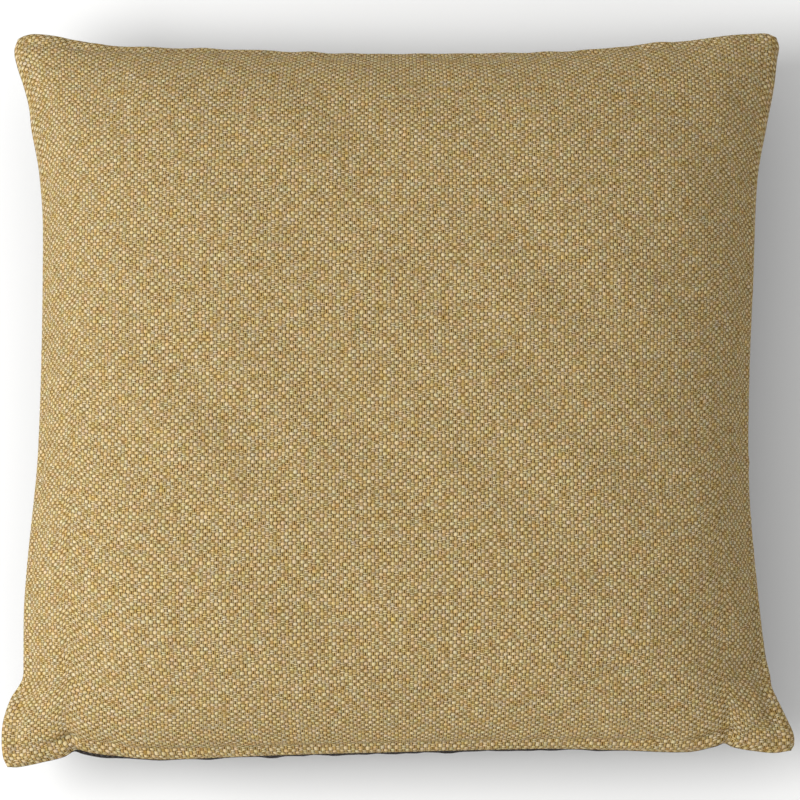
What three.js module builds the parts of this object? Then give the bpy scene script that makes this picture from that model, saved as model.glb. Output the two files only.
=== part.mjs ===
// A square scatter cushion that lies on its back, its front face up.
// It is one filled body faced in a light two-tone plain weave, and the dark panel sewn on behind.
// Units are millimetres, +Z is up, and the origin is under the middle, on the surface it lies on.
import * as THREE from "three";

// Cloth and seam
const PANEL_SIDE = 450; // a panel's finished side, along its threads
const HALF_PANEL = PANEL_SIDE / 2;
const BACK_CLOTH = 1.5; // thickness of the back panel
const CLEARANCE = 0.3; // air between the back panel and the filled body
const SEAM_ROLL = 2.2; // half the thickness of the folded seam
const SEAM_HEIGHT = 58; // from the surface to the seam
const LEFT_EAR_DROOP = 5; // how far the left ears hang below the seam
const RIGHT_EAR_DROOP = 9; // and the right ones
const EAR_REACH = 6; // a power: the higher it is, the less of the seam the droop takes in

// The cloth runs straight up the middle, whatever the side seams do
const MEAN_HALF_WIDTH = 213;
const NARROWING_POWER = 1.6;
const SWAY_POWER = 6;

// Filling
const FRONT_CROWN = 63; // rise of the face over its seam
const BACK_CROWN = 62; // depth of the back under its seam, before the surface flattens it
const PRESS_BLEND = 3; // height over which the flattened patch runs into the curved back
const EAR_FILL = 0.5; // 0 gives paper-thin ears and 1 gives full ones

// Distances from the seam, along the cloth, where the panels have a row of points
const ROWS_FROM_SEAM = [0, 2.5, 5.5, 9.5, 14, 19, 25, 32, 39, 46, 54, 64, 76, 90, 107, 127, 150, 175, 200];

// How the cloth leaves each seam: its first slope in degrees, the length over which that slope
// fades, and the length of cloth from the seam to the crest. The two powers shape the fading.
const FRONT_SECTIONS = {
  left: { slope: 70, fade: 62, crest: 225 },
  right: { slope: 70, fade: 62, crest: 225 },
  bottom: { slope: 80, fade: 62, crest: 185 },
  top: { slope: 66, fade: 56, crest: 265 },
};
const BACK_SECTIONS = {
  left: { slope: 82, fade: 60, crest: 225 },
  right: { slope: 82, fade: 60, crest: 225 },
  bottom: { slope: 90, fade: 58, crest: 215 },
  top: { slope: 80, fade: 60, crest: 235 },
};
const FADE_POWER = 1.2;
const CREST_POWER = 4;

// How far the seam stands out from the middle. `at` runs from -1 to 1 along each side,
// upwards on the left and right sides and from left to right on the bottom and the top.
const SEAM_LEFT = [
  { at: -1, out: 223.5 }, { at: -0.975, out: 226 }, { at: -0.93, out: 227 }, { at: -0.88, out: 226.2 },
  { at: -0.82, out: 222 }, { at: -0.79, out: 217.8 }, { at: -0.765, out: 215.2 },
  { at: -0.72, out: 215 }, { at: -0.58, out: 215.2 }, { at: -0.45, out: 213.6 },
  { at: -0.14, out: 208.5 }, { at: 0.45, out: 208 }, { at: 0.62, out: 211 }, { at: 0.74, out: 216 },
  { at: 0.8, out: 217.6 }, { at: 0.86, out: 221 }, { at: 0.92, out: 225.3 }, { at: 0.965, out: 227.2 },
  { at: 1, out: 225.3 },
];
const SEAM_RIGHT = [
  { at: -1, out: 228.3 }, { at: -0.985, out: 230 }, { at: -0.955, out: 229.6 },
  { at: -0.91, out: 225.2 }, { at: -0.86, out: 220 }, { at: -0.83, out: 217.2 },
  { at: -0.8, out: 216.4 }, { at: -0.75, out: 214 }, { at: -0.6, out: 210.5 }, { at: -0.3, out: 206 },
  { at: 0, out: 207 }, { at: 0.3, out: 210.5 }, { at: 0.58, out: 214 }, { at: 0.74, out: 220.3 },
  { at: 0.85, out: 225 }, { at: 0.93, out: 227.3 }, { at: 0.97, out: 228.8 }, { at: 1, out: 227.4 },
];
const SEAM_BOTTOM = [
  { at: -1, out: 215.8 }, { at: -0.97, out: 216 }, { at: -0.9, out: 213 }, { at: -0.85, out: 210 },
  { at: -0.822, out: 206.3 }, { at: -0.79, out: 207.9 }, { at: -0.75, out: 209.4 },
  { at: -0.71, out: 210.2 }, { at: -0.66, out: 211.6 }, { at: -0.6, out: 212.2 },
  { at: -0.3, out: 209.7 }, { at: 0, out: 207.9 }, { at: 0.4, out: 206 }, { at: 0.6, out: 206.9 },
  { at: 0.75, out: 207.6 }, { at: 0.815, out: 204.3 }, { at: 0.838, out: 202.3 },
  { at: 0.86, out: 204.5 }, { at: 0.9, out: 206.2 }, { at: 0.96, out: 207.3 }, { at: 1, out: 205.6 },
];
const SEAM_TOP = [
  { at: -1, out: 221.8 }, { at: -0.98, out: 223.8 }, { at: -0.955, out: 224.6 }, { at: -0.9, out: 223 },
  { at: -0.85, out: 220.2 }, { at: -0.74, out: 216 }, { at: -0.45, out: 213.4 },
  { at: -0.15, out: 210.8 }, { at: 0, out: 210.4 }, { at: 0.4, out: 211.6 }, { at: 0.6, out: 215 },
  { at: 0.67, out: 217.5 }, { at: 0.77, out: 219.5 }, { at: 0.88, out: 223.8 },
  { at: 0.94, out: 225.4 }, { at: 0.975, out: 226 }, { at: 1, out: 224 },
];

// The folded seam inside lifts a low ridge along the edge of the face, with a groove above it.
// It is plain along the bottom and faint along the other sides, which blend over EDGE_BLEND.
const RIDGE = { from: 4, width: 2.8, height: 1.3 };
const GROOVE = { from: 9.5, width: 3, height: -1.8 };
const FAINT_EDGE = 0.35;
const EDGE_BLEND = 25;

// Soft folds that run in from the ears, and low swells where height is over 0. The two ends are
// places in the cloth, in mm from its middle.
const FRONT_FOLDS = {
  lowerLeft: { from: [-225, -177], to: [-200, -190], width: 7, height: -1.6 },
  lowerLeftHem: { from: [-185, -225], to: [-184, -216], width: 4, height: -1.5 },
  lowerRight: { from: [225, -172], to: [204, -173], width: 11, height: -2.8 },
  underLowerRight: { from: [225, -192], to: [204, -196], width: 9, height: 1 },
  lowerRightHem: { from: [188, -225], to: [187, -216], width: 4, height: -1 },
  upperLeft: { from: [-222, 176], to: [-204, 168], width: 12, height: -1.2 },
  upperRight: { from: [222, 176], to: [204, 170], width: 12, height: -1.2 },
};
const BACK_FOLDS = {
  bulgeUnderSeam: { from: [-176, -218], to: [-160, -218], width: 8, height: 2.2 },
  lowerLeft: { from: [-222, -176], to: [-188, -166], width: 13, height: -2.4 },
  lowerRight: { from: [222, -174], to: [186, -172], width: 13, height: -2.6 },
  upperLeft: { from: [-222, 178], to: [-190, 170], width: 13, height: -2 },
  upperRight: { from: [222, 176], to: [190, 168], width: 13, height: -2 },
};

const FACE_CLOTH = { color: 0xa89166, roughness: 0.92, metalness: 0 };
const DARK_CLOTH = { color: 0x3f3a38, roughness: 0.94, metalness: 0 };

const mix = (a, b, share) => a + (b - a) * share;
const radians = THREE.MathUtils.degToRad;

// A smooth curve through a seam table's rows
function seamOut(rows, at) {
  const last = rows.length - 1;
  let i = 1;
  while (i < last && rows[i].at < at) i += 1;
  const before = rows[Math.max(i - 2, 0)];
  const start = rows[i - 1];
  const end = rows[i];
  const after = rows[Math.min(i + 1, last)];
  const span = end.at - start.at;
  const startLean = ((end.out - before.out) / (end.at - before.at)) * span;
  const endLean = ((after.out - start.out) / (after.at - start.at)) * span;
  const t = (at - start.at) / span;
  const toEnd = t * t * (3 - 2 * t);
  const leans = t * (1 - t) * ((1 - t) * startLean - t * endLean);
  return mix(start.out, end.out, toEnd) + leans;
}

// Follows the cloth from a seam to the crest, in 1 mm steps: how far in and how high it gets
function climb(section) {
  const path = [{ inward: 0, rise: 0 }];
  for (let along = 0.5; along < section.crest; along += 1) {
    const fading = Math.exp(-((along / section.fade) ** FADE_POWER));
    const slope = radians(section.slope) * fading * (1 - (along / section.crest) ** CREST_POWER);
    const last = path[path.length - 1];
    path.push({ inward: last.inward + Math.cos(slope), rise: last.rise + Math.sin(slope) });
  }
  return path;
}

// The section from one seam over the crest to the other. For a place in the cloth from -1 to 1
// it gives the place across the cushion, from -1 to 1, and the share of the full height.
function crossSection(lowSide, highSide) {
  const low = climb(lowSide);
  const high = climb(highSide);
  const lowEnd = low[low.length - 1];
  const highEnd = high[high.length - 1];
  const across = lowEnd.inward + highEnd.inward;
  const onPath = (path, along) => {
    const i = Math.min(Math.floor(along), path.length - 2);
    const share = along - i;
    return {
      inward: mix(path[i].inward, path[i + 1].inward, share),
      rise: mix(path[i].rise, path[i + 1].rise, share),
    };
  };
  return (at) => {
    const along = (at + 1) * HALF_PANEL;
    if (along <= lowSide.crest) {
      const point = onPath(low, along);
      return { place: (2 * point.inward) / across - 1, height: point.rise / lowEnd.rise };
    }
    const point = onPath(high, PANEL_SIDE - along);
    return { place: 1 - (2 * point.inward) / across, height: point.rise / highEnd.rise };
  };
}

// The share of the crown where the two sections cross. Near a corner both are low,
// and EAR_FILL sets how low their meeting is.
function crownShare(heightX, heightY) {
  if (Math.min(heightX, heightY) <= 0) return 0;
  return (heightX ** -EAR_FILL + heightY ** -EAR_FILL - 1) ** (-1 / EAR_FILL);
}

// The seam's edge is round, like the folded cloth in it
function rollOver(fromSeam) {
  const flat = 1 - Math.min(fromSeam / SEAM_ROLL, 1);
  return SEAM_ROLL * Math.sqrt(1 - flat ** 2);
}

// The surface under the cushion stops it, and the flat patch runs into the curve over PRESS_BLEND
function pressFlat(z) {
  if (z >= PRESS_BLEND) return z;
  return Math.max(z + PRESS_BLEND, 0) ** 2 / (4 * PRESS_BLEND);
}

const FRONT = {
  sections: [
    crossSection(FRONT_SECTIONS.left, FRONT_SECTIONS.right),
    crossSection(FRONT_SECTIONS.bottom, FRONT_SECTIONS.top),
  ],
  heightAt: (seam, roll, share) => seam + roll + FRONT_CROWN * share,
};
const BACK = {
  sections: [
    crossSection(BACK_SECTIONS.left, BACK_SECTIONS.right),
    crossSection(BACK_SECTIONS.bottom, BACK_SECTIONS.top),
  ],
  heightAt: (seam, roll, share) => pressFlat(seam - roll - BACK_CROWN * share),
};

// The place between the side seams. Their narrowing and their sway fade off inside.
function betweenSides(left, right, share) {
  const side = 2 * share - 1;
  const narrowing = (left + right) / 2 - MEAN_HALF_WIDTH;
  const sway = (right - left) / 2;
  const narrowed = narrowing * Math.sign(side) * Math.abs(side) ** NARROWING_POWER;
  return MEAN_HALF_WIDTH * side + narrowed + sway * side ** SWAY_POWER;
}

// The point of a face for a place (u, v) in its cloth, each from -1 to 1
function facePoint(face, u, v) {
  const [sectionX, sectionY] = face.sections;
  const x = sectionX(u);
  const y = sectionY(v);
  const shareX = (1 + mix(u, x.place, y.height)) / 2;
  const shareY = (1 + mix(v, y.place, x.height)) / 2;
  const fromSeam = HALF_PANEL * (1 - Math.max(Math.abs(u), Math.abs(v)));
  const droop = mix(LEFT_EAR_DROOP, RIGHT_EAR_DROOP, (1 + u) / 2);
  const seam = SEAM_HEIGHT - droop * (u * v) ** EAR_REACH;
  return new THREE.Vector3(
    betweenSides(seamOut(SEAM_LEFT, v), seamOut(SEAM_RIGHT, v), shareX),
    mix(-seamOut(SEAM_BOTTOM, u), seamOut(SEAM_TOP, u), shareY),
    face.heightAt(seam, rollOver(fromSeam), crownShare(x.height, y.height)),
  );
}

const FROM_LOW_SEAM = ROWS_FROM_SEAM.map((distance) => distance / HALF_PANEL - 1);
const PLACES = [...FROM_LOW_SEAM, 0, ...FROM_LOW_SEAM.map((place) => -place).reverse()];
const LAST = PLACES.length - 1;

// A grid of whatever `make` gives at each row and column
const grid = (make) => PLACES.map((_, row) => PLACES.map((__, column) => make(row, column)));
const onSeam = (row, column) => Math.min(row, column, LAST - row, LAST - column) === 0;

// The direction out of a face at each grid point. On the seam it points level, away from the cushion.
function outward(points, facing) {
  return grid((row, column) => {
    if (onSeam(row, column)) {
      const sideways = Number(column === LAST) - Number(column === 0);
      const lengthways = Number(row === LAST) - Number(row === 0);
      return new THREE.Vector3(sideways, lengthways, 0).normalize();
    }
    const alongX = points[row][column + 1].clone().sub(points[row][column - 1]);
    const alongY = points[row + 1][column].clone().sub(points[row - 1][column]);
    return alongX.cross(alongY).normalize().multiplyScalar(facing);
  });
}

function moved(points, directions, distanceAt) {
  return grid((row, column) => {
    const direction = directions[row][column];
    return points[row][column].clone().addScaledVector(direction, distanceAt(row, column));
  });
}

const bump = (distance, width) => Math.exp(-((distance / width) ** 2));

// How far a fold moves the cloth at (x, y) in the panel: a trough or a swell that fades past
// its inner end
function foldDepth(fold, x, y) {
  const [fromX, fromY] = fold.from;
  const [toX, toY] = fold.to;
  const length = Math.hypot(toX - fromX, toY - fromY);
  const along = ((x - fromX) * (toX - fromX) + (y - fromY) * (toY - fromY)) / length;
  const aside = ((x - fromX) * (toY - fromY) - (y - fromY) * (toX - fromX)) / length;
  const past = Math.max(along - length, 0);
  return fold.height * bump(aside, fold.width) * bump(past, fold.width);
}

// How far the seam's ridge and groove move the cloth at (x, y) in the panel
function edgeDepth(x, y) {
  const fromSeam = HALF_PANEL - Math.max(Math.abs(x), Math.abs(y));
  const nearBottom = THREE.MathUtils.smoothstep(-y - Math.abs(x), -EDGE_BLEND, EDGE_BLEND);
  const lines = [RIDGE, GROOVE].map((line) => line.height * bump(fromSeam - line.from, line.width));
  return mix(FAINT_EDGE, 1, nearBottom) * (lines[0] + lines[1]);
}

// How far a face's folds and edge move each grid point. The seam itself stays in place.
function relief(folds, edgeAt) {
  return (row, column) => {
    if (onSeam(row, column)) return 0;
    const x = PLACES[column] * HALF_PANEL;
    const y = PLACES[row] * HALF_PANEL;
    return Object.values(folds).reduce((sum, fold) => sum + foldDepth(fold, x, y), edgeAt(x, y));
  };
}

// Collects triangles between grids of points and makes one closed mesh of them
class Skin {
  constructor() {
    this.positions = [];
    this.triangles = [];
  }

  add(points) {
    return grid((row, column) => {
      this.positions.push(...points[row][column].toArray());
      return this.positions.length / 3 - 1;
    });
  }

  quad(a, b, c, d, turned) {
    if (turned) this.triangles.push(a, b, d, b, c, d);
    else this.triangles.push(a, b, c, a, c, d);
  }

  face(ids, facing) {
    for (let row = 0; row < LAST; row += 1) {
      for (let column = 0; column < LAST; column += 1) {
        const turned = row < LAST / 2 === column < LAST / 2;
        const [a, b] = [ids[row][column], ids[row][column + 1]];
        const [c, d] = [ids[row + 1][column + 1], ids[row + 1][column]];
        if (facing > 0) this.quad(a, b, c, d, !turned);
        else this.quad(a, d, c, b, !turned);
      }
    }
  }

  strip(upper, lower) {
    upper.forEach((id, i) => {
      const next = (i + 1) % upper.length;
      this.quad(lower[i], lower[next], upper[next], id, false);
    });
  }

  mesh(name, finish) {
    const geometry = new THREE.BufferGeometry();
    geometry.setAttribute("position", new THREE.Float32BufferAttribute(this.positions, 3));
    geometry.setIndex(this.triangles);
    geometry.computeVertexNormals();
    const mesh = new THREE.Mesh(geometry, new THREE.MeshStandardMaterial(finish));
    mesh.name = name;
    return mesh;
  }
}

// The seam's points in order, anticlockwise from the lower left corner
function seamLoop(ids) {
  const steps = [...Array(LAST).keys()];
  return [
    ...steps.map((i) => ids[0][i]),
    ...steps.map((i) => ids[i][LAST]),
    ...steps.map((i) => ids[LAST][LAST - i]),
    ...steps.map((i) => ids[LAST - i][0]),
  ];
}

const facePoints = (face) => grid((row, column) => facePoint(face, PLACES[column], PLACES[row]));

// The back cloth's outer surface, and the way out of it at each point
const plainBack = facePoints(BACK);
const backOut = outward(plainBack, -1);
const shapedBack = moved(plainBack, backOut, relief(BACK_FOLDS, () => 0));

// Layers inside the back cloth stay parallel to it, and the surface under it stays flat
const backLayer = (depth) => moved(shapedBack, backOut, () => -depth);

function filledBody() {
  const plainFront = facePoints(FRONT);
  const front = moved(plainFront, outward(plainFront, 1), relief(FRONT_FOLDS, edgeDepth));
  const skin = new Skin();
  const face = skin.add(front);
  const back = skin.add(backLayer(BACK_CLOTH + CLEARANCE));
  skin.face(face, 1);
  skin.face(back, -1);
  skin.strip(seamLoop(face), seamLoop(back));
  return skin.mesh("cushion", FACE_CLOTH);
}

function backPanel() {
  const lowered = (points) =>
    grid((row, column) => {
      const drop = onSeam(row, column) ? CLEARANCE : 0;
      return points[row][column].clone().setZ(points[row][column].z - drop);
    });
  const skin = new Skin();
  const outer = skin.add(lowered(shapedBack));
  const inner = skin.add(lowered(backLayer(BACK_CLOTH)));
  skin.face(outer, -1);
  skin.face(inner, 1);
  skin.strip(seamLoop(inner), seamLoop(outer));
  return skin.mesh("back_panel", DARK_CLOTH);
}

// Moves the pieces together, so that the origin is under the middle of their box
function centred(meshes) {
  const box = new THREE.Box3();
  meshes.forEach((mesh) => box.expandByObject(mesh));
  const middle = box.getCenter(new THREE.Vector3());
  const group = new THREE.Group();
  group.add(...meshes);
  group.position.set(-middle.x, -middle.y, -box.min.z);
  return group;
}

export default centred([filledBody(), backPanel()]);
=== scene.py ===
"""A square scatter cushion: a two-tone woven face over a soft filling, and a dark back cloth.

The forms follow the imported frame, in metres. Sizes of the cloth are in millimetres and end in _MM,
or are rows of the tables below, because a cut panel is measured along its threads.
"""
import math
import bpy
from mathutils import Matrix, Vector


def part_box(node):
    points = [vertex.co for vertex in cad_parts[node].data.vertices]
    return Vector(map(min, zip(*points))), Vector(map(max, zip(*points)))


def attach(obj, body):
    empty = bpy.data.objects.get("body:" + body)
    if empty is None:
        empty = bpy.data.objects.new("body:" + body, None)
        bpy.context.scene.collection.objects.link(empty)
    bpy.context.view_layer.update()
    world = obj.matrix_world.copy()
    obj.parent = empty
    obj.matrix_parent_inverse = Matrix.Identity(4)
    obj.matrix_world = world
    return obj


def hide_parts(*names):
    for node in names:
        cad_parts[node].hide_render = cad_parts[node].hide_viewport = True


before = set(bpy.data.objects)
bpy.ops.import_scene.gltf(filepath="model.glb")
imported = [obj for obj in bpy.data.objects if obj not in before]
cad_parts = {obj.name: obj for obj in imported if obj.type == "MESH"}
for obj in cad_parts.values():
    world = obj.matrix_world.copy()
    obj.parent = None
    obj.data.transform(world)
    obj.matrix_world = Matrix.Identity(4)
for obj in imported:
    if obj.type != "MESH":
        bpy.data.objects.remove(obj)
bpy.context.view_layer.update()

from types import SimpleNamespace

import bpy
import numpy as np
from bpy.props import FloatProperty, FloatVectorProperty, IntProperty, PointerProperty
from mathutils import Matrix, Vector

bl_info = {
    "name": "Woven square cushion",
    "version": (1, 0, 0),
    "blender": (4, 5, 0),
    "location": "3D View > Sidebar > Cushion",
    "description": "Makes a filled square cushion with a woven face and a dark back",
    "category": "Object",
}

MM = 0.001
CLOTH_UV = "cloth"

# The cut panels and the seam that joins them
PANEL_SIDE_MM = 450.0
HALF_PANEL_MM = PANEL_SIDE_MM / 2
BACK_CLOTH_MM = 1.5
CLEARANCE_MM = 0.3
SEAM_ROLL_MM = 2.2
SEAM_HEIGHT_MM = 58.0
LEFT_EAR_DROOP_MM = 5.0
RIGHT_EAR_DROOP_MM = 9.0
EAR_REACH = 6

# The cloth runs straight up the middle, whatever the side seams do
MEAN_HALF_WIDTH_MM = 213.0
NARROWING_POWER = 1.6
SWAY_POWER = 6

# The filling under the cloth
FRONT_CROWN_MM = 63.0
BACK_CROWN_MM = 62.0
PRESS_BLEND_MM = 3.0
EAR_FILL = 0.5
FADE_POWER = 1.2
CREST_POWER = 4

# How the cloth leaves each seam: first slope in degrees, then the lengths in mm over which the
# slope fades and in which the cloth climbs to its crest
FRONT_SECTIONS = {
    "left": dict(slope=70, fade=62, crest=225),
    "right": dict(slope=70, fade=62, crest=225),
    "bottom": dict(slope=80, fade=62, crest=185),
    "top": dict(slope=66, fade=56, crest=265),
}
BACK_SECTIONS = {
    "left": dict(slope=82, fade=60, crest=225),
    "right": dict(slope=82, fade=60, crest=225),
    "bottom": dict(slope=90, fade=58, crest=215),
    "top": dict(slope=80, fade=60, crest=235),
}

# The seam's outline: (place along the side from -1 to 1, distance from the middle in mm),
# upwards on the left and right sides and from left to right on the bottom and the top
SEAM_LEFT = [
    (-1, 223.5), (-0.975, 226), (-0.93, 227), (-0.88, 226.2), (-0.82, 222), (-0.79, 217.8),
    (-0.765, 215.2), (-0.72, 215), (-0.58, 215.2), (-0.45, 213.6), (-0.14, 208.5), (0.45, 208),
    (0.62, 211), (0.74, 216), (0.8, 217.6), (0.86, 221), (0.92, 225.3), (0.965, 227.2), (1, 225.3),
]
SEAM_RIGHT = [
    (-1, 228.3), (-0.985, 230), (-0.955, 229.6), (-0.91, 225.2), (-0.86, 220), (-0.83, 217.2),
    (-0.8, 216.4), (-0.75, 214), (-0.6, 210.5), (-0.3, 206), (0, 207), (0.3, 210.5), (0.58, 214),
    (0.74, 220.3), (0.85, 225), (0.93, 227.3), (0.97, 228.8), (1, 227.4),
]
SEAM_BOTTOM = [
    (-1, 215.8), (-0.97, 216), (-0.9, 213), (-0.85, 210), (-0.822, 206.3), (-0.79, 207.9),
    (-0.75, 209.4), (-0.71, 210.2), (-0.66, 211.6), (-0.6, 212.2), (-0.3, 209.7), (0, 207.9),
    (0.4, 206), (0.6, 206.9), (0.75, 207.6), (0.815, 204.3), (0.838, 202.3), (0.86, 204.5),
    (0.9, 206.2), (0.96, 207.3), (1, 205.6),
]
SEAM_TOP = [
    (-1, 221.8), (-0.98, 223.8), (-0.955, 224.6), (-0.9, 223), (-0.85, 220.2), (-0.74, 216),
    (-0.45, 213.4), (-0.15, 210.8), (0, 210.4), (0.4, 211.6), (0.6, 215), (0.67, 217.5),
    (0.77, 219.5), (0.88, 223.8), (0.94, 225.4), (0.975, 226), (1, 224),
]

# The seam allowance inside lifts a lip along the edge, and the cloth dips where it ends.
# Sizes are in mm: the distance from the seam, the width and the height.
LIP = dict(start=4.0, width=2.8, height=1.3)
DIP = dict(start=9.5, width=3.0, height=-1.8)
FAINT_EDGE = 0.35
EDGE_BLEND_MM = 25.0

# Soft folds that run in from the ears, and low swells where height is over 0. Both ends are places
# in the flat cloth, in mm from its middle.
FRONT_FOLDS = [
    dict(start=(-225, -177), end=(-200, -190), width=7, height=-1.6),
    dict(start=(-185, -225), end=(-184, -216), width=3, height=-1.5),
    dict(start=(225, -172), end=(204, -173), width=11, height=-2.8),
    dict(start=(225, -192), end=(204, -196), width=9, height=1),
    dict(start=(188, -225), end=(187, -216), width=3, height=-1),
    dict(start=(-222, 176), end=(-204, 168), width=12, height=-1.2),
    dict(start=(222, 176), end=(204, 170), width=12, height=-1.2),
]
BACK_FOLDS = [
    dict(start=(-176, -218), end=(-160, -218), width=8, height=2.2),
    dict(start=(-222, -176), end=(-188, -166), width=13, height=-2.4),
    dict(start=(222, -174), end=(186, -172), width=13, height=-2.6),
    dict(start=(-222, 178), end=(-190, 170), width=13, height=-2),
    dict(start=(222, 176), end=(190, 168), width=13, height=-2),
]

# Lumps of the filling, which fade towards the seam, and gathers of the stitching, which are
# deepest in a band beside it. The lengths of their waves are in mm.
FRONT_SEED = 11
BACK_SEED = 31
LUMPS = dict(count=9, shortest=45, longest=120)
LUMP_FADE_MM = 60.0
GATHERS = dict(count=9, shortest=11, longest=30)
GATHER_BAND_MM = 9.0
SEAM_HOLD_MM = 2.5

# Proportions of both weaves. Lengths are in yarns: 1 is the step from a yarn to its neighbour.
# A dict of From and To is a range of values and the range that it turns into.
REPEAT = 2
NOISE_MEAN = 0.5
WANDER = {"Scale": 0.12, "Detail": 3.0, "Roughness": 0.75}
WANDER_REACH = (0.5, 1.4, 0)
FLOAT_START = (0.25, 0.75, 0)
YARN_MIDDLE = (0.5, 0.5, 0)

# How a yarn falls away beside its middle, whole or split into two strands, how much more light its
# risen parts get, and the seeds of its chances and of its unevenness
WEFT_YARN = dict(whole=-2.0, split=-9.0, lift=0.2, chance_seed=0.0, uneven_seed=0.0)
WARP_YARN = dict(whole=-6.0, split=-12.0, lift=0.1, chance_seed=9.0, uneven_seed=5.3)
STRANDS_APART = 0.29
SPLIT_CHANCE = {"From Min": 0.2, "From Max": 0.7, "To Max": STRANDS_APART}
UNEVEN_ALONG = 0.3
UNEVEN_ACROSS = 7.13
UNEVEN_HEIGHT = 0.9
CHANCE_HEIGHT = 0.3
WEFT_LEAD = 0.5
MEETING = {"From Min": -0.15, "From Max": 0.15}

# Fibres of the yarns, and dye that took unevenly
FIBRES_ALONG = 1.4
FIBRES_ACROSS = 6.0
FIBRE_HEIGHT = 0.35
YARN_DYE = 0.3
PATCH_DYE = 1.05
PATCHES = (0.42, 0.34, 0)
CROSSING_SHADE = {"To Min": 0.96, "To Max": 1.04}
FIBRE_SHADE = {"From Min": 0.25, "From Max": 0.75, "To Min": 0.86, "To Max": 1.14}
COLUMN_SHADE = 0.16

# Light in the weave: in its depth, at the edges of crossings and between upright yarns
DEPTH_LIGHT = {"From Min": -0.66, "From Max": 0.02}
EDGE_LIGHT = {"From Max": 0.45}
PACKED_LIGHT = {"From Max": 0.25, "To Max": 0.9}
COLUMN_LIGHT = {"From Min": 0.36, "From Max": 0.5, "To Min": 1.0, "To Max": 0.65}
CLOTH_ROUGHNESS = 0.95
CLOTH_SPECULAR = 0.1
PAPER_ROUGHNESS = 0.9

# The studio, in metres
FLOOR_SIDE = 8.0
KEY_PLACE = (-1.43, -0.38, 1.54)
KEY_SIDE = 1.2
CUSHION_MIDDLE = (0, 0, 0.06)

# The camera: what it looks at, its distance in metres and its elevation in degrees
CAMERA_TARGET_MM = (1.1, -5.26, 58.79)
CAMERA_DISTANCE = 2.8
CAMERA_ELEVATION = 77.0
CAMERA_REACH = 20.0
CAMERA_LENS_MM = 215.5
SENSOR_MM = 36.0


def linear(hex_colour):
    """An sRGB hex colour as linear RGB."""
    parts = [int(hex_colour[i : i + 2], 16) / 255 for i in (1, 3, 5)]
    return tuple(p / 12.92 if p <= 0.04045 else ((p + 0.055) / 1.055) ** 2.4 for p in parts)


def opaque(colour):
    return (*colour, 1.0)


class CushionForm(bpy.types.PropertyGroup):
    """The filled body and its seams."""

    cells: IntProperty(name="Cells", description="Quads along a panel's side", default=192, min=32)
    edge_cells: FloatProperty(
        name="Edge density", description="How much denser the quads are at the seam",
        default=0.78, min=0, max=0.9, subtype="FACTOR")
    lump: FloatProperty(
        name="Lumps", description="How far the filling's lumps move the cloth",
        default=0.0007, unit="LENGTH")
    pucker: FloatProperty(
        name="Pucker", description="How far the stitching gathers the cloth along the seams",
        default=0.0005, unit="LENGTH")
    fill: FloatProperty(
        name="Fill", description="0 is slack and 1 is tight", default=0.65, min=0, max=1,
        subtype="FACTOR")


class FaceWeave(bpy.types.PropertyGroup):
    """The front cloth, a plain weave of pale yarn over brown yarn."""

    weft: FloatVectorProperty(
        name="Pale yarn", description="The yarn that makes the dots", subtype="COLOR",
        default=linear("#cdb88b"), min=0, max=1)
    warp: FloatVectorProperty(
        name="Brown yarn", description="The yarn between the dots", subtype="COLOR",
        default=linear("#aa8f58"), min=0, max=1)
    # Painted shade: a dark colour that stands in for the shadow deep between the yarns
    gap: FloatVectorProperty(
        name="Gaps", description="The deep colour between the yarns", subtype="COLOR",
        default=linear("#4c2f00"), min=0, max=1)
    warp_spacing: FloatProperty(
        name="Warp spacing", description="Distance between upright yarns", default=0.00214,
        unit="LENGTH")
    weft_spacing: FloatProperty(
        name="Weft spacing", description="Distance between level yarns", default=0.00191,
        unit="LENGTH")
    relief: FloatProperty(
        name="Relief", description="Height of a yarn over its neighbour", default=0.00036,
        unit="LENGTH")
    dye_depth: FloatVectorProperty(
        name="Dye depth", description="How far light and deep dye differ in each primary",
        default=(0.2, 0.44, 1.05))
    dye_cast: FloatVectorProperty(
        name="Dye cast", description="How far warm and cool dye differ in each primary",
        default=(-0.24, -0.14, 0.14))
    dye_hue: FloatVectorProperty(
        name="Dye hue", description="How far red and green dye differ in each primary",
        default=(0.11, -0.14, 0.04))


class BackWeave(bpy.types.PropertyGroup):
    """The back cloth, a finer and darker plain weave."""

    weft: FloatVectorProperty(
        name="Grey yarn", description="The lighter yarn", subtype="COLOR",
        default=linear("#4a4440"), min=0, max=1)
    warp: FloatVectorProperty(
        name="Dark yarn", description="The darker yarn", subtype="COLOR",
        default=linear("#2c2826"), min=0, max=1)
    # Painted shade: a dark colour that stands in for the shadow deep between the yarns
    gap: FloatVectorProperty(
        name="Gaps", description="The deep colour between the yarns", subtype="COLOR",
        default=linear("#141110"), min=0, max=1)
    warp_spacing: FloatProperty(
        name="Warp spacing", description="Distance between upright yarns", default=0.0016,
        unit="LENGTH")
    weft_spacing: FloatProperty(
        name="Weft spacing", description="Distance between level yarns", default=0.0016,
        unit="LENGTH")
    relief: FloatProperty(
        name="Relief", description="Height of a yarn over its neighbour", default=0.0004,
        unit="LENGTH")
    dye_depth: FloatVectorProperty(
        name="Dye depth", description="How far light and deep dye differ in each primary",
        default=(0.3, 0.63, 1.3))
    dye_cast: FloatVectorProperty(
        name="Dye cast", description="How far warm and cool dye differ in each primary",
        default=(-0.3, -0.18, 0.16))
    dye_hue: FloatVectorProperty(
        name="Dye hue", description="How far red and green dye differ in each primary",
        default=(0.14, -0.18, 0.05))


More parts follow.
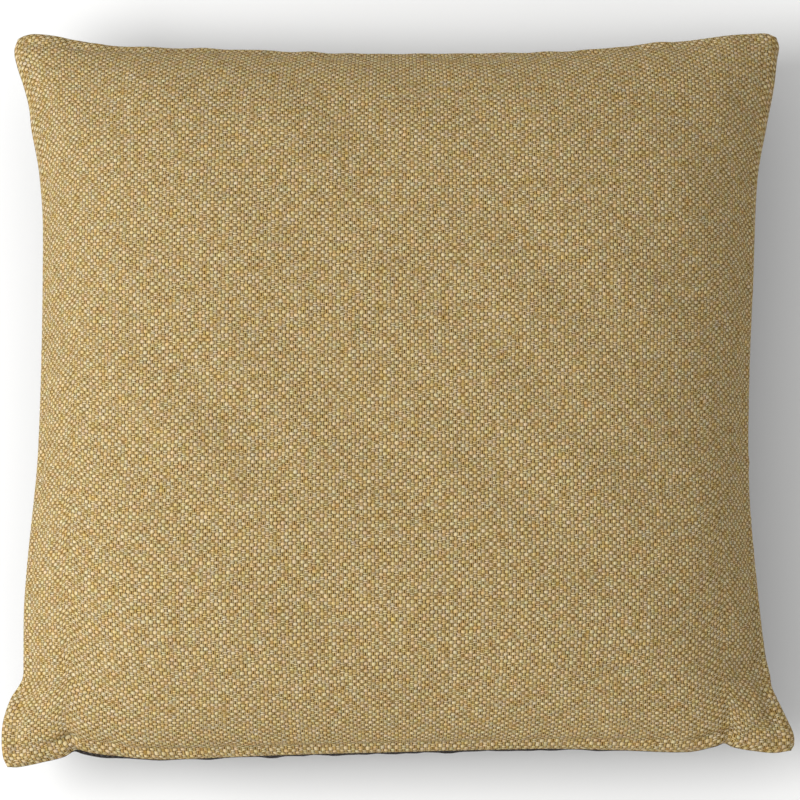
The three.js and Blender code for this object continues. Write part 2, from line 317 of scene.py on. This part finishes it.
class StudioLight(bpy.types.PropertyGroup):
    """The floor, the light and the surroundings."""

    floor: FloatVectorProperty(
        name="Floor", description="Colour of the floor", subtype="COLOR",
        default=linear("#f6f6f5"), min=0, max=1)
    key: FloatProperty(
        name="Key light", description="Strength of the light on the left", default=37.0,
        subtype="POWER")
    surroundings: FloatProperty(
        name="Surroundings", description="Strength of the light from all around", default=0.62)


# Shape of the cloth. Points are arrays in mm, with rows along the cushion and columns across it.


def mix(a, b, share):
    return a + (b - a) * share


def bump(distance, width):
    return np.exp(-((distance / width) ** 2))


def seam_out(rows, at):
    """A smooth curve through a seam table, at places from -1 to 1."""
    places, outs = np.array(rows, float).T
    last = len(rows) - 1
    end = np.clip(np.searchsorted(places, at), 1, last)
    start, before, after = end - 1, np.maximum(end - 2, 0), np.minimum(end + 1, last)
    span = places[end] - places[start]
    start_lean = (outs[end] - outs[before]) / (places[end] - places[before]) * span
    end_lean = (outs[after] - outs[start]) / (places[after] - places[start]) * span
    t = (at - places[start]) / span
    curve = mix(outs[start], outs[end], t * t * (3 - 2 * t))
    return curve + t * (1 - t) * ((1 - t) * start_lean - t * end_lean)


def climb(slope, fade, crest):
    """Follows the cloth from a seam to its crest in 1 mm steps: how far in and how high it gets."""
    along = np.arange(0.5, crest)
    fading = np.exp(-((along / fade) ** FADE_POWER)) * (1 - (along / crest) ** CREST_POWER)
    angle = np.radians(slope) * fading
    inward = np.concatenate([[0], np.cumsum(np.cos(angle))])
    rise = np.concatenate([[0], np.cumsum(np.sin(angle))])
    return inward, rise


def cross_section(low_side, high_side, at):
    """From places in the cloth to places across the cushion and shares of its height."""
    along = (at + 1) * HALF_PANEL_MM
    low_in, low_rise = climb(**low_side)
    high_in, high_rise = climb(**high_side)
    across = low_in[-1] + high_in[-1]
    on_low = along <= low_side["crest"]
    low_steps, high_steps = np.arange(len(low_in)), np.arange(len(high_in))
    low_place = 2 * np.interp(along, low_steps, low_in) / across - 1
    high_place = 1 - 2 * np.interp(PANEL_SIDE_MM - along, high_steps, high_in) / across
    low_height = np.interp(along, low_steps, low_rise) / low_rise[-1]
    high_height = np.interp(PANEL_SIDE_MM - along, high_steps, high_rise) / high_rise[-1]
    return np.where(on_low, low_place, high_place), np.where(on_low, low_height, high_height)


def crown_share(height_x, height_y):
    """The share of the crown where two sections cross. Near a corner both are low."""
    low = np.minimum(height_x, height_y) <= 0
    x, y = np.where(low, 1, height_x), np.where(low, 1, height_y)
    share = (x**-EAR_FILL + y**-EAR_FILL - 1) ** (-1 / EAR_FILL)
    return np.where(low, 0, share)


def press_flat(z):
    """The floor stops the cloth, and the flat patch runs into the curve."""
    squeezed = np.maximum(z + PRESS_BLEND_MM, 0) ** 2 / (4 * PRESS_BLEND_MM)
    return np.where(z >= PRESS_BLEND_MM, z, squeezed)


def between_sides(left, right, share):
    """The place between the side seams. Their narrowing and their sway fade off inside."""
    side = 2 * share - 1
    narrowing = (left + right) / 2 - MEAN_HALF_WIDTH_MM
    sway = (right - left) / 2
    inside = MEAN_HALF_WIDTH_MM * side + narrowing * np.sign(side) * np.abs(side) ** NARROWING_POWER
    return inside + sway * side**SWAY_POWER


def plain_surface(sections, crown, places):
    """A panel's plain form. crown is in mm, and it is negative for the back."""
    v, u = np.meshgrid(places, places, indexing="ij")
    x_place, x_height = cross_section(sections["left"], sections["right"], u)
    y_place, y_height = cross_section(sections["bottom"], sections["top"], v)
    share_x = (1 + mix(u, x_place, y_height)) / 2
    share_y = (1 + mix(v, y_place, x_height)) / 2
    from_seam = HALF_PANEL_MM * (1 - np.maximum(np.abs(u), np.abs(v)))
    droop = mix(LEFT_EAR_DROOP_MM, RIGHT_EAR_DROOP_MM, (1 + u) / 2)
    seam = SEAM_HEIGHT_MM - droop * (u * v) ** EAR_REACH
    roll = SEAM_ROLL_MM * np.sqrt(1 - (1 - np.minimum(from_seam / SEAM_ROLL_MM, 1)) ** 2)
    height = seam + np.sign(crown) * roll + crown * crown_share(x_height, y_height)
    return np.stack(
        [
            between_sides(seam_out(SEAM_LEFT, v), seam_out(SEAM_RIGHT, v), share_x),
            mix(-seam_out(SEAM_BOTTOM, u), seam_out(SEAM_TOP, u), share_y),
            height if crown > 0 else press_flat(height),
        ],
        axis=-1,
    )


def outward(points, facing):
    """The way out of the cloth at each point. On the seam it is level, away from the cushion."""
    along_y, along_x = np.gradient(points, axis=(0, 1))
    out = np.cross(along_x, along_y) * facing
    out[:, 0], out[:, -1] = (-1, 0, 0), (1, 0, 0)
    out[0], out[-1] = (0, -1, 0), (0, 1, 0)
    for row, up in ((0, -1), (-1, 1)):
        for column, right in ((0, -1), (-1, 1)):
            out[row, column] = (right, up, 0)
    return out / np.linalg.norm(out, axis=-1, keepdims=True)


def fold_depth(fold, x, y):
    """How far a fold moves the cloth: a trough or a swell that fades past its inner end."""
    start, end = np.array(fold["start"], float), np.array(fold["end"], float)
    length = np.linalg.norm(end - start)
    way = (end - start) / length
    along = (x - start[0]) * way[0] + (y - start[1]) * way[1]
    aside = (x - start[0]) * way[1] - (y - start[1]) * way[0]
    past = np.maximum(along - length, 0)
    return fold["height"] * bump(aside, fold["width"]) * bump(past, fold["width"])


def smooth_step(x, low, high):
    t = np.clip((x - low) / (high - low), 0, 1)
    return t * t * (3 - 2 * t)


def edge_depth(x, y):
    """The lip over the seam allowance and the dip behind it, both plainest at the bottom."""
    from_seam = HALF_PANEL_MM - np.maximum(np.abs(x), np.abs(y))
    near_bottom = smooth_step(-y - np.abs(x), -EDGE_BLEND_MM, EDGE_BLEND_MM)
    lines = sum(s["height"] * bump(from_seam - s["start"], s["width"]) for s in (LIP, DIP))
    return mix(FAINT_EDGE, 1, near_bottom) * lines


def waves(seed, x, y, count, shortest, longest):
    """A smooth uneven field around 0, of waves whose lengths are between two sizes in mm."""
    random = np.random.default_rng(seed)
    total = np.zeros_like(x)
    for length in np.geomspace(shortest, longest, count):
        heading, phase = random.uniform(0, 2 * math.pi, 2)
        turn = (x * math.cos(heading) + y * math.sin(heading)) * 2 * math.pi / length
        total += np.sin(turn + phase)
    return total / math.sqrt(count)


def seam_places(form):
    """Places of the rows in the cloth, from -1 to 1, close together at the seams."""
    even = np.linspace(-1, 1, form.cells + 1)
    return even + form.edge_cells * np.sin(math.pi * even) / math.pi


def relief(folds, form, seed, places, edges):
    """How far folds, lumps, puckers and the edge move the cloth, in mm. The seam stays in place."""
    y, x = np.meshgrid(places * HALF_PANEL_MM, places * HALF_PANEL_MM, indexing="ij")
    from_seam = HALF_PANEL_MM - np.maximum(np.abs(x), np.abs(y))
    moved = sum(fold_depth(fold, x, y) for fold in folds)
    if edges:
        moved = moved + edge_depth(x, y)
    lumps = waves(seed, x, y, **LUMPS) * smooth_step(from_seam, 0, LUMP_FADE_MM)
    gathers = waves(seed + 1, x, y, **GATHERS) * bump(from_seam - GATHER_BAND_MM, GATHER_BAND_MM)
    moved = moved + form.lump / MM * lumps + form.pucker / MM * gathers
    return moved * smooth_step(from_seam, 0, SEAM_HOLD_MM)


# Meshes


def grid_faces(first, size):
    """Quads of a square grid of points, whose first point has the number `first`."""
    corner = first + (np.arange(size - 1)[:, None] * size + np.arange(size - 1)).ravel()
    return np.stack([corner, corner + 1, corner + size + 1, corner + size], axis=1)


def rim(first, size):
    """The numbers of a grid's rim points, anticlockwise from its lower left corner."""
    steps = np.arange(size - 1)
    last = size - 1
    return first + np.concatenate(
        [steps, steps * size + last, last * size + last - steps, (last - steps) * size])


def closed_cloth(name, upper, lower, places):
    """A closed mesh of two grids and the strip that joins their rims, with the cloth's own UVs."""
    size = len(places)
    points = np.concatenate([upper.reshape(-1, 3), lower.reshape(-1, 3)]) * MM
    top, under = rim(0, size), rim(size * size, size)
    strip = np.stack([under, np.roll(under, -1), np.roll(top, -1), top], axis=1)
    faces = np.concatenate(
        [grid_faces(0, size), grid_faces(size * size, size)[:, ::-1], strip])
    mesh = bpy.data.meshes.new(name)
    mesh.from_pydata(points.tolist(), [], faces.tolist())
    v, u = np.meshgrid((places + 1) / 2, (places + 1) / 2, indexing="ij")
    flat = np.tile(np.stack([u.ravel(), v.ravel()], axis=1), (2, 1))
    loops = np.zeros(len(mesh.loops), np.int32)
    mesh.loops.foreach_get("vertex_index", loops)
    layer = mesh.uv_layers.new(name=CLOTH_UV)
    layer.data.foreach_set("uv", flat[loops].ravel())
    mesh.update()
    made = bpy.data.objects.new(name, mesh)
    bpy.context.scene.collection.objects.link(made)
    bpy.ops.object.select_all(action="DESELECT")
    made.select_set(True)
    bpy.context.view_layer.objects.active = made
    bpy.ops.object.shade_smooth()
    return made


def frame_shift(places):
    """From the tables' own middle to the frame's, in mm."""
    plain = plain_surface(FRONT_SECTIONS, FRONT_CROWN_MM, places)
    low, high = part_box("cushion")
    middle = np.array((low + high) / 2) / MM
    shift = middle - (plain.min(axis=(0, 1)) + plain.max(axis=(0, 1))) / 2
    return np.array([shift[0], shift[1], 0.0])


def shaped_back(form, places):
    """The back cloth's outer surface and the way out of it."""
    plain = plain_surface(BACK_SECTIONS, -BACK_CROWN_MM, places) + frame_shift(places)
    out = outward(plain, -1)
    moved = relief(BACK_FOLDS, form, BACK_SEED, places, edges=False)[..., None]
    surface = plain + out * moved
    surface[..., 2] = np.maximum(surface[..., 2], 0)
    return surface, out


# Materials


def add_node(tree, kind, inputs=None, output=0, **settings):
    """Adds a node with its settings. An input is a value or another node's output."""
    made = tree.nodes.new(kind)
    for name, value in settings.items():
        setattr(made, name, value)
    for socket, value in (inputs or {}).items():
        if isinstance(value, bpy.types.NodeSocket):
            tree.links.new(value, made.inputs[socket])
        else:
            made.inputs[socket].default_value = value
    return made.outputs[output] if made.outputs else made


def weave_places(tree, weave):
    """Places in the cloth, counted in yarns: along straight yarns and along wandering ones."""
    side = PANEL_SIDE_MM * MM
    yarns = (side / weave.warp_spacing, side / weave.weft_spacing, 1)
    cloth = add_node(tree, "ShaderNodeUVMap", uv_map=CLOTH_UV)
    threads = add_node(tree, "ShaderNodeVectorMath", {0: cloth, 1: yarns}, operation="MULTIPLY")
    drift = add_node(
        tree, "ShaderNodeTexNoise", {"Vector": threads, **WANDER}, output="Color",
        noise_dimensions="2D")
    aside = add_node(
        tree, "ShaderNodeVectorMath", {0: drift, 1: (NOISE_MEAN,) * 3}, operation="SUBTRACT")
    place = add_node(
        tree, "ShaderNodeVectorMath", {0: aside, 1: WANDER_REACH, 2: threads},
        operation="MULTIPLY_ADD")
    return threads, place


def crossings(tree, place):
    """Which yarns and floats a place is on, how these rise there and how far off their middles are.

    The weft is on top at every other warp, and the warp at every other weft, by turns.
    """
    cell = add_node(tree, "ShaderNodeVectorMath", {0: place}, operation="FLOOR")
    odd = add_node(
        tree, "ShaderNodeVectorMath", {0: cell, 1: (REPEAT,) * 3}, operation="MODULO")
    odd = add_node(tree, "ShaderNodeSeparateXYZ", {0: odd}).node.outputs
    turns = add_node(tree, "ShaderNodeCombineXYZ", {0: odd["Y"], 1: odd["X"]})
    paired = add_node(tree, "ShaderNodeVectorMath", {0: place, 1: turns}, operation="ADD")
    paired = add_node(
        tree, "ShaderNodeVectorMath", {0: paired, 1: (1 / REPEAT, 1 / REPEAT, 0), 2: FLOAT_START},
        operation="MULTIPLY_ADD")
    number = add_node(tree, "ShaderNodeVectorMath", {0: paired}, operation="FLOOR")
    along = add_node(tree, "ShaderNodeVectorMath", {0: paired}, operation="FRACTION")
    along = add_node(
        tree, "ShaderNodeVectorMath", {0: along, "Scale": math.tau}, operation="SCALE")
    swing = add_node(tree, "ShaderNodeVectorMath", {0: along}, operation="COSINE")
    rise = add_node(tree, "ShaderNodeVectorMath", {0: swing, "Scale": -1.0}, operation="SCALE")
    inside = add_node(tree, "ShaderNodeVectorMath", {0: place}, operation="FRACTION")
    across = add_node(
        tree, "ShaderNodeVectorMath", {0: inside, 1: YARN_MIDDLE}, operation="SUBTRACT")
    from_middle = add_node(tree, "ShaderNodeVectorMath", {0: across}, operation="ABSOLUTE")
    vectors = dict(place=place, cell=cell, number=number, rise=rise, from_middle=from_middle)
    return SimpleNamespace(**{
        name: add_node(tree, "ShaderNodeSeparateXYZ", {0: vector}).node.outputs
        for name, vector in vectors.items()})


def woven_yarn(tree, shape, rise, aside, crossing, run, stretch):
    """A yarn of two strands: its height, its light, the chance of its crossing and its dye.

    crossing and run are the two numbers that tell its crossings and the places along it apart.
    """
    crossing = add_node(
        tree, "ShaderNodeCombineXYZ", {0: crossing[0], 1: crossing[1], 2: shape["chance_seed"]})
    chance = add_node(
        tree, "ShaderNodeTexWhiteNoise", {"Vector": crossing}, output="Color",
        noise_dimensions="3D")
    chance = add_node(tree, "ShaderNodeSeparateXYZ", {0: chance}).node.outputs
    run = add_node(
        tree, "ShaderNodeCombineXYZ", {0: run[0], 1: run[1], 2: shape["uneven_seed"]})
    run = add_node(tree, "ShaderNodeVectorMath", {0: run, 1: stretch}, operation="MULTIPLY")
    uneven = add_node(
        tree, "ShaderNodeTexNoise", {"Vector": run, "Scale": 1.0, "Detail": 1.0},
        output="Color", noise_dimensions="3D")
    thick = add_node(tree, "ShaderNodeSeparateXYZ", {0: uneven}).node.outputs["Z"]
    strand = add_node(tree, "ShaderNodeMapRange", {"Value": chance["Y"], **SPLIT_CHANCE})
    beside = add_node(tree, "ShaderNodeMath", {0: aside, 1: strand}, operation="SUBTRACT")
    beside = add_node(tree, "ShaderNodeMath", {0: beside, 1: beside}, operation="MULTIPLY")
    slope = add_node(
        tree, "ShaderNodeMapRange",
        {"Value": strand, "From Max": STRANDS_APART, "To Min": shape["whole"],
         "To Max": shape["split"]})
    fall = add_node(tree, "ShaderNodeMath", {0: beside, 1: slope}, operation="MULTIPLY")
    light = add_node(
        tree, "ShaderNodeMath", {0: rise, 1: shape["lift"], 2: fall}, operation="MULTIPLY_ADD")
    height = add_node(tree, "ShaderNodeMath", {0: fall, 1: rise}, operation="ADD")
    for amount, share in ((thick, UNEVEN_HEIGHT), (chance["X"], CHANCE_HEIGHT)):
        height = add_node(
            tree, "ShaderNodeMath", {0: amount, 1: share, 2: height}, operation="MULTIPLY_ADD")
    return SimpleNamespace(height=height, light=light, chance=chance["Z"], uneven=uneven)


def fibre_streaks(tree, place, on_weft):
    """Fine streaks, which run along the yarn on top."""
    stretch = add_node(
        tree, "ShaderNodeMix",
        {0: on_weft, 4: (FIBRES_ACROSS, FIBRES_ALONG, 0), 5: (FIBRES_ALONG, FIBRES_ACROSS, 0)},
        output=1, data_type="VECTOR")
    place = add_node(tree, "ShaderNodeVectorMath", {0: place, 1: stretch}, operation="MULTIPLY")
    return add_node(
        tree, "ShaderNodeTexNoise", {"Vector": place, "Scale": 1.0, "Detail": 2.0},
        noise_dimensions="2D")


def dye_tint(tree, weave, threads, uneven):
    """The tint of dye that took unevenly, in each yarn and in small patches of the cloth.

    More of it is deeper and more orange, and less of it is paler and greyer.
    """
    patch_place = add_node(
        tree, "ShaderNodeVectorMath", {0: threads, 1: PATCHES}, operation="MULTIPLY")
    patch = add_node(
        tree, "ShaderNodeTexNoise", {"Vector": patch_place, "Scale": 1.0, "Detail": 1.0},
        output="Color", noise_dimensions="2D")
    amounts = (-(YARN_DYE + PATCH_DYE) * NOISE_MEAN,) * 3
    for noise, share in ((uneven, YARN_DYE), (patch, PATCH_DYE)):
        amounts = add_node(
            tree, "ShaderNodeVectorMath", {0: noise, 1: (share,) * 3, 2: amounts},
            operation="MULTIPLY_ADD")
    amounts = add_node(tree, "ShaderNodeSeparateXYZ", {0: amounts}).node.outputs
    tint = (1, 1, 1)
    for change, part in ((weave.dye_depth, "X"), (weave.dye_cast, "Y"), (weave.dye_hue, "Z")):
        change = add_node(
            tree, "ShaderNodeVectorMath", {0: change, "Scale": amounts[part]}, operation="SCALE")
        tint = add_node(tree, "ShaderNodeVectorMath", {0: change, 1: tint}, operation="ADD")
    return tint


def yarn_shade(tree, chance, streak, column):
    """How light or dark a yarn is: by chance at each crossing, by its fibres and by its column."""
    crossing_shade = add_node(tree, "ShaderNodeMapRange", {"Value": chance, **CROSSING_SHADE})
    streak_shade = add_node(tree, "ShaderNodeMapRange", {"Value": streak, **FIBRE_SHADE})
    column_shade = add_node(
        tree, "ShaderNodeMath", {0: column, 1: COLUMN_SHADE, 2: 1 - COLUMN_SHADE * NOISE_MEAN},
        operation="MULTIPLY_ADD")
    shade = add_node(
        tree, "ShaderNodeMath", {0: crossing_shade, 1: streak_shade}, operation="MULTIPLY")
    return add_node(tree, "ShaderNodeMath", {0: shade, 1: column_shade}, operation="MULTIPLY")


def open_share(tree, light, lead, from_middle):
    """How much light gets to a place. The gaps and the edges of the yarns are in shadow."""
    depth = add_node(
        tree, "ShaderNodeMapRange", {"Value": light, **DEPTH_LIGHT},
        interpolation_type="SMOOTHSTEP")
    apart = add_node(tree, "ShaderNodeMath", {0: lead}, operation="ABSOLUTE")
    edge = add_node(tree, "ShaderNodeMapRange", {"Value": apart, **EDGE_LIGHT})
    # Upright yarns stand apart, and level ones are packed close
    packed = add_node(
        tree, "ShaderNodeMath", {0: from_middle["Y"], 1: from_middle["X"]},
        operation="SUBTRACT")
    packed = add_node(tree, "ShaderNodeMapRange", {"Value": packed, **PACKED_LIGHT})
    edge = add_node(tree, "ShaderNodeMath", {0: edge, 1: packed}, operation="MAXIMUM")
    share = add_node(tree, "ShaderNodeMath", {0: depth, 1: edge}, operation="MULTIPLY")
    between = add_node(
        tree, "ShaderNodeMapRange", {"Value": from_middle["X"], **COLUMN_LIGHT},
        interpolation_type="SMOOTHSTEP")
    return add_node(tree, "ShaderNodeMath", {0: share, 1: between}, operation="MULTIPLY")


def woven_cloth(name, weave):
    """A plain weave of two-strand yarns: level weft over and under upright warp by turns.

    Loose fibres scatter the light, so the cloth is matt and has hardly a highlight.
    """
    material = bpy.data.materials.new(name)
    material.use_nodes = True
    tree = material.node_tree
    tree.nodes.clear()
    threads, place = weave_places(tree, weave)
    at = crossings(tree, place)
    weft = woven_yarn(
        tree, WEFT_YARN, at.rise["X"], at.from_middle["Y"], (at.number["X"], at.cell["Y"]),
        (at.place["X"], at.cell["Y"]), (UNEVEN_ALONG, UNEVEN_ACROSS, 1))
    warp = woven_yarn(
        tree, WARP_YARN, at.rise["Y"], at.from_middle["X"], (at.cell["X"], at.number["Y"]),
        (at.cell["X"], at.place["Y"]), (UNEVEN_ACROSS, UNEVEN_ALONG, 1))
    # Which yarn is on top
    top = add_node(
        tree, "ShaderNodeMath", {0: weft.height, 1: warp.height}, operation="MAXIMUM")
    lead = add_node(
        tree, "ShaderNodeMath", {0: weft.height, 1: warp.height}, operation="SUBTRACT")
    lead = add_node(tree, "ShaderNodeMath", {0: lead, 1: WEFT_LEAD}, operation="ADD")
    on_weft = add_node(
        tree, "ShaderNodeMapRange", {"Value": lead, **MEETING}, interpolation_type="SMOOTHSTEP")
    yarn = add_node(
        tree, "ShaderNodeMix", {0: on_weft, 6: opaque(weave.warp), 7: opaque(weave.weft)},
        output=2, data_type="RGBA")
    uneven = add_node(
        tree, "ShaderNodeMix", {0: on_weft, 4: warp.uneven, 5: weft.uneven}, output=1,
        data_type="VECTOR")
    chance = add_node(
        tree, "ShaderNodeMix", {0: on_weft, 2: warp.chance, 3: weft.chance}, data_type="FLOAT")
    light = add_node(
        tree, "ShaderNodeMix", {0: on_weft, 2: warp.light, 3: weft.light}, data_type="FLOAT")
    # Its colour, and the painted shade of the gaps: a dark colour that stands in for the shadow deep
    # between the yarns
    streak = fibre_streaks(tree, place, on_weft)
    column = add_node(tree, "ShaderNodeSeparateXYZ", {0: warp.uneven}).node.outputs["X"]
    tint = dye_tint(tree, weave, threads, uneven)
    dyed = add_node(tree, "ShaderNodeVectorMath", {0: yarn, 1: tint}, operation="MULTIPLY")
    shade = yarn_shade(tree, chance, streak, column)
    lit = add_node(tree, "ShaderNodeVectorMath", {0: dyed, "Scale": shade}, operation="SCALE")
    share = open_share(tree, light, lead, at.from_middle)
    # Painted shade: the dark gap colour shows wherever little light gets in
    shaded = add_node(
        tree, "ShaderNodeMix", {0: share, 6: opaque(weave.gap), 7: lit}, output=2,
        data_type="RGBA")
    height = add_node(
        tree, "ShaderNodeMath", {0: streak, 1: FIBRE_HEIGHT, 2: top}, operation="MULTIPLY_ADD")
    normal = add_node(
        tree, "ShaderNodeBump", {"Height": height, "Distance": weave.relief, "Strength": 1.0})
    shader = add_node(
        tree, "ShaderNodeBsdfPrincipled",
        {"Base Color": shaded, "Normal": normal, "Roughness": CLOTH_ROUGHNESS,
         "Specular IOR Level": CLOTH_SPECULAR})
    add_node(tree, "ShaderNodeOutputMaterial", {"Surface": shader})
    return material


def white_paper(colour):
    """Matt paper. It scatters light evenly, so the floor shows a soft shadow and no reflection."""
    material = bpy.data.materials.new("Matt white paper")
    material.use_nodes = True
    shader = material.node_tree.nodes["Principled BSDF"]
    shader.inputs["Base Color"].default_value = opaque(colour)
    shader.inputs["Roughness"].default_value = PAPER_ROUGHNESS
    return material


# Operators


class CUSHION_OT_filled_body(bpy.types.Operator):
    """Make the filled body under its woven face"""

    bl_idname = "cushion.filled_body"
    bl_label = "Filled body"

    def execute(self, context):
        form = context.scene.cushion_form
        places = seam_places(form)
        plain = plain_surface(FRONT_SECTIONS, FRONT_CROWN_MM, places) + frame_shift(places)
        moved = relief(FRONT_FOLDS, form, FRONT_SEED, places, edges=True)[..., None]
        face = plain + outward(plain, 1) * moved
        back, out = shaped_back(form, places)
        inner = back - out * (BACK_CLOTH_MM + CLEARANCE_MM)
        body = closed_cloth("cushion_body", face, inner, places)
        # Pale dots in rows on brown. They run together to a matt straw colour from further away.
        body.data.materials.append(woven_cloth("Speckled plain weave", context.scene.face_weave))
        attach(body, "root")
        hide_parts("cushion")
        return {"FINISHED"}


class CUSHION_OT_back_panel(bpy.types.Operator):
    """Make the dark cloth behind the filled body"""

    bl_idname = "cushion.back_panel"
    bl_label = "Back panel"

    def execute(self, context):
        form = context.scene.cushion_form
        places = seam_places(form)
        outer, out = shaped_back(form, places)
        inner = outer - out * BACK_CLOTH_MM
        # Its seam lies just under the body's, so the two don't touch
        seam = rim(0, len(places))
        for surface in (outer, inner):
            surface.reshape(-1, 3)[seam, 2] -= CLEARANCE_MM
        panel = closed_cloth("cushion_back", inner, outer, places)
        # Brown-black and grey yarns, so fine that the cloth looks almost plain and gives no shine
        panel.data.materials.append(woven_cloth("Dark melange weave", context.scene.back_weave))
        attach(panel, "root")
        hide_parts("back_panel")
        return {"FINISHED"}


def add_aimed(name, data, place, target):
    """Adds a light or a camera at a place and turns it to what it looks at."""
    made = bpy.data.objects.new(name, data)
    place = Vector(place)
    turn = (Vector(target) - place).to_track_quat("-Z", "Y")
    made.matrix_world = Matrix.Translation(place) @ turn.to_matrix().to_4x4()
    bpy.context.scene.collection.objects.link(made)
    return made


class CUSHION_OT_studio(bpy.types.Operator):
    """Make the floor, the light and the camera"""

    bl_idname = "cushion.studio"
    bl_label = "Studio"

    def execute(self, context):
        studio = context.scene.studio_light
        bpy.ops.object.select_all(action="DESELECT")
        bpy.ops.mesh.primitive_plane_add(size=FLOOR_SIDE)
        floor = context.object
        floor.name = "studio_floor"
        floor.data.materials.append(white_paper(studio.floor))
        light = bpy.data.lights.new("key_light", "AREA")
        light.size = KEY_SIDE
        light.energy = studio.key
        add_aimed("key_light", light, KEY_PLACE, CUSHION_MIDDLE)
        world = bpy.data.worlds.new("Studio walls")
        world.use_nodes = True
        background = world.node_tree.nodes["Background"]
        background.inputs["Color"].default_value = opaque((1, 1, 1))
        background.inputs["Strength"].default_value = studio.surroundings
        context.scene.world = world
        context.scene.view_settings.view_transform = "Standard"
        camera = bpy.data.cameras.new("camera")
        camera.lens = CAMERA_LENS_MM
        camera.sensor_width = SENSOR_MM
        camera.clip_end = CAMERA_REACH
        tilt = math.radians(CAMERA_ELEVATION)
        target = Vector(CAMERA_TARGET_MM) * MM
        place = target + CAMERA_DISTANCE * Vector((0, -math.cos(tilt), math.sin(tilt)))
        context.scene.camera = add_aimed("camera", camera, place, target)
        return {"FINISHED"}


class CUSHION_PT_panel(bpy.types.Panel):
    """Lists the cushion's pieces and sizes"""

    bl_label = "Cushion"
    bl_idname = "CUSHION_PT_panel"
    bl_space_type = "VIEW_3D"
    bl_region_type = "UI"
    bl_category = "Cushion"

    def draw(self, context):
        for operator in OPERATORS:
            self.layout.operator(operator.bl_idname)
        for name, group in SETTINGS.items():
            for setting in group.__annotations__:
                self.layout.prop(getattr(context.scene, name), setting)


SETTINGS = {
    "cushion_form": CushionForm,
    "face_weave": FaceWeave,
    "back_weave": BackWeave,
    "studio_light": StudioLight,
}
OPERATORS = (CUSHION_OT_filled_body, CUSHION_OT_back_panel, CUSHION_OT_studio)
CLASSES = (*SETTINGS.values(), *OPERATORS, CUSHION_PT_panel)


def register():
    for made in CLASSES:
        bpy.utils.register_class(made)
    for name, group in SETTINGS.items():
        setattr(bpy.types.Scene, name, PointerProperty(type=group))


def unregister():
    for name in SETTINGS:
        delattr(bpy.types.Scene, name)
    for made in reversed(CLASSES):
        bpy.utils.unregister_class(made)


def main():
    register()
    bpy.ops.cushion.filled_body()
    bpy.ops.cushion.back_panel()
    bpy.ops.cushion.studio()


if __name__ == "__main__":
    main()
